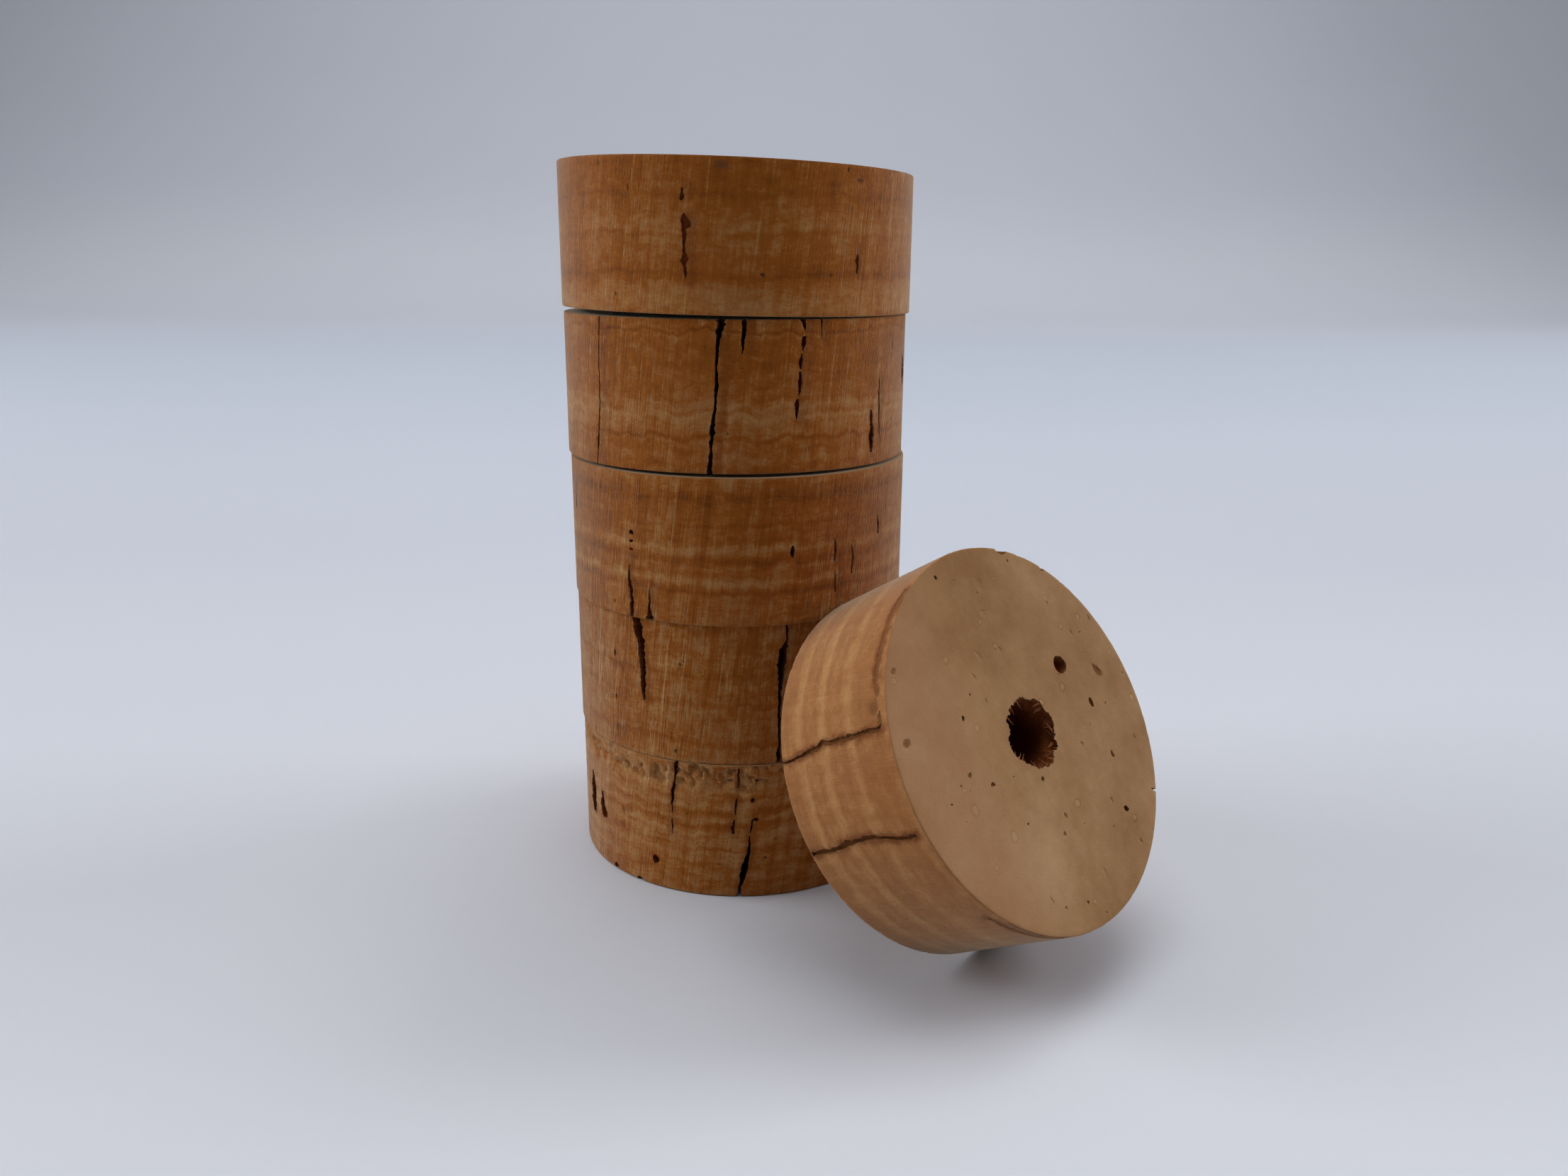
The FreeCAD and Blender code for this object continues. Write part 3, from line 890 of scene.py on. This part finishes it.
leaningRing = {
    "node": "leaning_ring",
    "blush": 0.45,
    "stain": 0.8,
    "dark": (0.2, 0.07, 0.02),
    "tan": (0.36, 0.15, 0.05),
    "streaks": 0.34,
    "lift": -0.02,
    "seed": 6.0,
    "roughness": 0.6,
    "torn": (0.0, 0.0),
    "ripple": 0.5,
    "drift": 1.6,
    "bands": 0.95,
    "layers": 0.3,
    "scuffs": 0.05,
    "fillDepth": 3.6,
    "growth": [
        (0.0, 0.5), (1.4, 0.48), (1.9, 0.64), (2.5, 0.72), (3.0, 0.5), (3.6, 0.56), (4.3, 0.48),
        (4.8, 0.64), (5.4, 0.74), (5.9, 0.46), (6.8, 0.54), (7.5, 0.46), (8.0, 0.62), (8.6, 0.68),
        (9.2, 0.48), (10.4, 0.46), (11.4, 0.4), (12.5, 0.58),
    ],
    "cracks": [
        (0.26, [
            (-107.5, -0.2, 0.22), (-107.5, 1.6, 0.36), (-108.2, 3.8, 0.52), (-109.0, 5.1, 0.7),
            (-108.4, 6.2, 0.46), (-108.1, 8.4, 0.6), (-108.0, 10.0, 0.42), (-107.6, 11.7, 0.66),
        ]),
        (0.3, [
            (-80.5, 0.2, 0.4), (-80.3, 1.4, 0.6), (-80.1, 3.1, 0.42), (-81.0, 4.6, 0.72),
            (-81.1, 5.6, 0.42), (-80.8, 7.4, 0.52), (-79.6, 8.8, 0.36), (-78.5, 9.9, 0.5),
            (-78.3, 11.6, 0.54),
        ]),
        (0.07, [(-47.0, 11.6, 0.3), (-38.0, 12.0, 0.8), (-30.0, 12.1, 0.9), (-20.0, 12.3, 0.4)]),
        (0.07, [(-121.0, 11.4, 0.7), (-130.0, 11.7, 0.6), (-140.0, 11.9, 0.66), (-152.0, 12.1, 0.3)]),
    ],
    "pits": [
        (-113.5, 11.2, 1.6, 1.3, 0.09), (-118.0, 11.6, 1.3, 0.9, 0.1), (-110.0, 11.7, 1.4, 0.6, 0.1),
        (161.0, 12.5, 1.5, 0.8, 0.5), (142.0, 12.5, 0.7, 0.6, 0.4), (133.0, 12.6, 0.4, 0.5, 0.3),
        (55.5, 12.5, 0.3, 1.0, 0.8), (100.0, 12.6, 0.5, 0.4, 0.2),
    ],
    "facePits": [
        (6.9, 4.15, 1.7, 1.6, 1.1, 0), (11.6, 2.5, 0.8, 1.6, 0.12, 35), (9.0, 0.2, 0.5, 0.9, 0.35, 0),
        (8.0, -9.0, 0.62, 0.66, 0.6, 0), (9.1, -4.5, 0.4, 0.7, 0.16, 10), (6.5, -7.7, 0.34, 0.6, 0.06, 0),
        (0.1, -7.0, 0.36, 0.55, 0.08, 0), (-0.9, -8.2, 0.46, 0.44, 0.08, 0),
        (8.2, -11.9, 0.36, 0.6, 0.06, 20), (2.1, -12.5, 0.36, 0.9, 0.045, 10),
        (-5.3, -12.0, 0.3, 0.8, 0.045, 0), (-1.3, -13.7, 0.36, 0.36, 0.1, 0),
        (13.0, -4.0, 0.34, 0.5, 0.06, 0), (5.6, -2.5, 0.3, 0.44, 0.06, 0), (-3.9, 3.8, 0.3, 0.4, 0.05, 0),
        (-2.7, 7.3, 0.6, 0.9, 0.045, 20), (-4.2, 5.9, 0.36, 0.6, 0.05, 20), (0.1, 7.1, 0.5, 0.5, 0.04, 0),
        (10.1, 6.3, 0.44, 0.55, 0.05, 20), (13.5, 7.0, 0.25, 0.7, 0.06, 0), (8.5, 9.4, 0.34, 0.4, 0.05, 0),
        (-4.1, 14.2, 0.4, 0.4, 0.2, 0), (0.7, 12.7, 0.9, 1.1, 0.04, 10), (-0.1, 10.4, 0.7, 0.6, 0.04, 0),
        (-12.6, 8.3, 0.7, 0.6, 0.08, 0), (-14.0, 3.1, 0.9, 0.8, 0.09, 0), (-7.2, 3.2, 0.42, 0.45, 0.2, 0),
        (-8.8, -0.9, 0.5, 0.4, 0.1, 40), (-6.7, -2.3, 0.56, 0.36, 0.14, 0),
        (-0.9, -3.6, 0.46, 0.4, 0.15, 0),
    ],
}

rings = (bottomRing, secondRing, thirdRing, fourthRing, topRing, leaningRing)

# marks behind and on the hidden faces
unseen = {
    "arc": (88.0, 272.0),
    "leaningArc": (20.0, 130.0),  # the leaning ring's seen side is turned
    "cracks": 7,
    "pits": 9,
    "facePits": 10,
    "marked": 5,  # a face with more pits than this gets no others
}


def addUnseen(ring, radius, height):
    draw = random.Random(int(ring["seed"]) * 97)
    start, stop = unseen["leaningArc" if ring is leaningRing else "arc"]
    step = (stop - start) / unseen["cracks"]
    for number in range(unseen["cracks"]):
        angle = start + step * (number + draw.uniform(0.2, 0.8))
        top = draw.choice((height + 0.3, draw.uniform(5.0, height - 1.0)))
        if ring is leaningRing:
            top = min(top, height - 1.5)
        bottom = max(draw.choice((-0.3, top - draw.uniform(2.0, 4.5))), -0.3)
        widest = draw.uniform(0.15, 0.6)
        points = []
        for part in range(5):
            share = part / 4
            across = angle + draw.uniform(-0.8, 0.8)
            gape = widest * draw.uniform(0.4, 1.0) * (1.0 - 0.5 * share)
            points.append((across, top + (bottom - top) * share, gape))
        ring["cracks"].append((0.5 + widest * 1.6, points))
    for number in range(unseen["pits"]):
        angle = draw.uniform(start, stop)
        up = draw.uniform(1.0, height - 1.0)
        sizes = (draw.uniform(0.2, 0.5), draw.uniform(0.25, 0.9), draw.uniform(0.1, 0.5))
        ring["pits"].append((angle, up, *sizes))
    ring["footPits"] = []
    for side in ("facePits", "footPits"):
        if len(ring[side]) > unseen["marked"]:
            continue
        for number in range(unseen["facePits"]):
            out = draw.uniform(5.5, radius - 1.5)
            turn = draw.uniform(0.0, 2 * math.pi)
            sizes = (draw.uniform(0.2, 0.8), draw.uniform(0.25, 1.0), draw.uniform(0.1, 0.6))
            ring[side].append((out * math.cos(turn), out * math.sin(turn), *sizes, draw.uniform(0.0, 180.0)))


def addObject(name, data):
    thing = bpy.data.objects.new(name, data)
    bpy.context.scene.collection.objects.link(thing)
    return thing


def plan(name, points, edges, attributes):
    mesh = bpy.data.meshes.new(name)
    mesh.from_pydata(points, edges, [])
    for key, values in attributes.items():
        mesh.attributes.new(key, "FLOAT", "POINT").data.foreach_set("value", values)
    return addObject(name, mesh)


def crackPlan(ring, radius):
    points, edges, gape, reach = [], [], [], []
    for deep, line in ring["cracks"]:
        for number, (angle, up, wide) in enumerate(line):
            if number:
                edges.append((len(points) - 1, len(points)))
            points.append((math.radians(angle) * radius, up, 0.0))
            gape.append(wide)
            reach.append(deep)
    return plan(ring["node"] + "Cracks", points, edges, {"gape": gape, "reach": reach})


def pitPlan(ring, radius):
    # the last number of a row is its side: 0 the wall, 1 the crown, 2 the foot
    rows = [(math.radians(angle) * radius, up, *size, 0.0, 0.0) for angle, up, *size in ring["pits"]]
    rows += [(*place, math.radians(turn), 1.0) for *place, turn in ring["facePits"]]
    rows += [(*place, math.radians(turn), 2.0) for *place, turn in ring["footPits"]]
    attributes = {}
    for column, key in enumerate(("wide", "long", "reach", "turn", "side"), start=2):
        attributes[key] = [row[column] for row in rows]
    return plan(ring["node"] + "Pits", [(row[0], row[1], 0.0) for row in rows], [], attributes)


def mount(name):
    return next(item for item in frame["record"]["mounts"] if item["name"] == name)


def ringSizes(ring):
    # radius, height, the wall's shift off the bore's axis and the place of the ring, from the frame, in mm
    lowest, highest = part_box(ring["node"])
    if ring is not leaningRing:
        wide = (highest - lowest) / mm
        middle = (highest + lowest) / (2 * mm)
        place = Matrix.Translation((0.0, 0.0, lowest.z / mm))
        return wide.x / 2, wide.z, Vector((middle.x, middle.y, 0.0)), place
    bore = mount("leaning_bore")
    axis = Vector(bore["axis"]).normalized()
    tip = next(joint for joint in frame["joints"] if joint["child"] == ring["node"])
    across = Vector(tip["axis"]).normalized()
    upward = axis.cross(across)
    height = bore["dims"]["length_mm"]
    back = Vector(bore["pos_m"]) / mm - axis * height / 2
    corners = [Vector(vertex.co) / mm - back for vertex in frame["nodes"][ring["node"]].data.vertices]
    radius = max(corner.dot(across) for corner in corners)
    place = Matrix.Translation(back) @ Matrix((across, upward, axis)).transposed().to_4x4()
    return radius, height, Vector((0.0, 0.0, 0.0)), place


def slope(ring, key):
    x, y = ring.get(key, (0.0, 0.0))
    return Vector((math.tan(math.radians(x)), math.tan(math.radians(y)), 0.0))


def makeRing(ring, tree):
    radius, height, shift, place = ringSizes(ring)
    addUnseen(ring, radius, height)
    ring["height"] = height
    cracks = crackPlan(ring, radius)
    pits = pitPlan(ring, radius)
    maker = plan(ring["node"] + "Maker", [(0.0, 0.0, 0.0)], [], {})
    given = {
        "Radius": radius,
        "Bore": mount("stack_bore")["dims"]["r_mm"],
        "Height": height,
        "Shift": shift,
        "Foot Slope": slope(ring, "footSlope"),
        "Crown Slope": slope(ring, "crownSlope"),
        "Torn Height": ring["torn"][0],
        "Torn Depth": ring["torn"][1],
        "Roughness": ring["roughness"],
        "Seed": ring["seed"] * 10.0,
        "Cracks": cracks,
        "Pits": pits,
        "Cork": corkFinish(ring["node"] + "Cork", ring),
    }
    growing = maker.modifiers.new("ring", "NODES")
    growing.node_group = tree
    for item in tree.interface.items_tree:
        if item.in_out == "INPUT" and item.name in given:
            growing[item.identifier] = given[item.name]
    bpy.context.view_layer.update()
    grown = maker.evaluated_get(bpy.context.evaluated_depsgraph_get())
    mesh = bpy.data.meshes.new_from_object(grown)
    for spare in (maker, cracks, pits):
        bpy.data.objects.remove(spare)
    mesh.name = ring["node"] + "Cork"
    mesh.transform(toMetres @ place)
    mesh.shade_smooth()
    mesh.set_sharp_from_angle(angle=math.radians(cork["sharp"]))
    piece = addObject(ring["node"] + "_cork", mesh)
    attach(piece, ring["node"])
    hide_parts(ring["node"])
    print("stage:", piece.name, len(mesh.polygons), "faces")


ringMaker = ringTree()
print("stage: ring tree built")
for ring in rings:
    makeRing(ring, ringMaker)

# the sheet below and behind the rings, in metres
table = {
    "tone": (0.57, 0.58, 0.625),
    "front": -0.30,
    "back": 1.0,  # where the sheet starts to climb
    "bend": 0.8,
    "bendSteps": 16,
    "top": 2.2,
    "half": 4.5,
    "drop": 0.00003,  # just under the rings' feet
}


def tableFinish():
    material = bpy.data.materials.new("paleSheet")
    board = freshBoard(material)
    place = board.add("ShaderNodeTexCoord", out="Object")
    cloud = board.noise(place, 9.0, 3.0, 0.5)
    grain = board.noise(place, 900.0, 2.0, 0.6)
    tone = 1.0 + (cloud - 0.5) * 0.03 + (grain - 0.5) * 0.02
    # painted shade: greyer and bluer from just behind the rings back, lighter again towards the back where the
    # sheet climbs, a little darker again up the backdrop
    x, y, z = board.split(place)
    paintedShade = board.ease(y, -0.03, 0.15) * 0.12 + board.ease(y, 0.15, 0.50) * 0.07
    paintedShade = paintedShade - board.ease(y, 0.55, 1.30) * 0.19 + board.ease(z, 0.04, 0.16) * 0.07
    red, green, blue = [part * tone for part in table["tone"]]
    colour = board.join(red - red * paintedShade * 1.2, green - green * paintedShade, blue - blue * paintedShade * 0.75)
    bump = board.add("ShaderNodeBump", None, {"Strength": 0.1, "Distance": 0.00005, "Height": grain})
    inputs = {"Base Color": colour, "Roughness": 0.55 + (cloud - 0.5) * 0.1, "Normal": bump}
    surface = board.add("ShaderNodeBsdfPrincipled", None, inputs)
    board.add("ShaderNodeOutputMaterial", None, {"Surface": surface})
    return material


def makeTable():
    line = [(table["front"], 0.0), (table["back"], 0.0)]
    for step in range(1, table["bendSteps"] + 1):
        turn = math.pi / 2 * step / table["bendSteps"]
        line.append((table["back"] + table["bend"] * math.sin(turn), table["bend"] * (1 - math.cos(turn))))
    line.append((table["back"] + table["bend"], table["top"]))
    points, faces = [], []
    for y, z in line:
        points.append((-table["half"], y, z - table["drop"]))
        points.append((table["half"], y, z - table["drop"]))
    for row in range(len(line) - 1):
        start = row * 2
        faces.append((start, start + 1, start + 3, start + 2))
    mesh = bpy.data.meshes.new("paleSheet")
    mesh.from_pydata(points, [], faces)
    mesh.materials.append(tableFinish())
    mesh.shade_smooth()
    sheet = addObject("paleSheet", mesh)


lamps = {
    # name: (place, aim, size, watts, colour)
    "overhead": ((0.0, 0.10, 1.30), (0.0, 0.10, 0.0), (1.0, 1.0), 7.6, (0.97, 0.99, 1.0)),
    "left": ((-1.10, 0.12, 0.58), (0.0, 0.0, 0.03), (0.60, 0.60), 8.2, (0.97, 0.98, 1.0)),
    "right": ((1.10, 0.24, 0.60), (0.0, 0.0, 0.03), (0.60, 0.60), 7.2, (0.97, 0.98, 1.0)),
    "behind": ((0.14, 0.65, 1.50), (0.14, 1.75, 0.40), (1.8, 0.6), 9.8, (0.92, 0.96, 1.0)),
}


def makeLamps():
    for name, (place, aim, size, watts, colour) in lamps.items():
        light = bpy.data.lights.new(name, "AREA")
        light.shape = "RECTANGLE"
        light.size, light.size_y = size
        light.energy = watts
        light.color = colour
        lamp = addObject(name, light)
        lamp.location = place
        lamp.rotation_euler = (Vector(aim) - Vector(place)).to_track_quat("-Z", "Y").to_euler()


# strengths of the light from all round; "seen" is what the camera sees of the room itself
room = {"colour": (0.93, 0.95, 1.0), "above": 0.36, "level": 0.14, "front": 0.02, "seen": 0.42}


def makeRoom():
    # soft light from all round: most from above, least from the front
    world = bpy.data.worlds.new("room")
    bpy.context.scene.world = world
    board = freshBoard(world)
    x, y, z = board.split(board.add("ShaderNodeTexCoord", out="Generated"))
    overhead = board.ease(z, 0.1, 0.95)
    front = board.ease(-y, 0.0, 0.9)
    strength = room["level"] + (room["front"] - room["level"]) * front
    strength = strength + overhead * (room["above"] - room["level"])
    looked = board.add("ShaderNodeLightPath", out="Is Camera Ray")
    strength = strength + (room["seen"] - strength) * looked
    light = board.add("ShaderNodeBackground", None, {"Color": opaque(room["colour"]), "Strength": strength})
    board.add("ShaderNodeOutputWorld", None, {"Surface": light})


# place in mm, lens in mm, the rest in degrees
viewpoint = {"place": (0.0, -114.15, 56.66), "lens": 27.48, "turn": 2.06, "tilt": -15.51, "roll": 0.449}


def makeCamera():
    data = bpy.data.cameras.new("viewpoint")
    data.lens = viewpoint["lens"]
    data.sensor_width = 36.0
    data.clip_start = 0.005
    data.clip_end = 20.0
    camera = addObject("viewpoint", data)
    turn, tilt = math.radians(viewpoint["turn"]), math.radians(viewpoint["tilt"])
    ahead = Vector((math.sin(turn) * math.cos(tilt), math.cos(turn) * math.cos(tilt), math.sin(tilt)))
    level = ahead.to_track_quat("-Z", "Y").to_matrix().to_4x4()
    roll = Matrix.Rotation(math.radians(viewpoint["roll"]), 4, "Z")
    camera.matrix_world = Matrix.Translation(Vector(viewpoint["place"]) * mm) @ level @ roll
    bpy.context.scene.camera = camera


makeTable()
makeLamps()
makeRoom()
makeCamera()
bpy.context.scene.view_settings.view_transform = "Standard"
print("stage: table, lamps and camera")
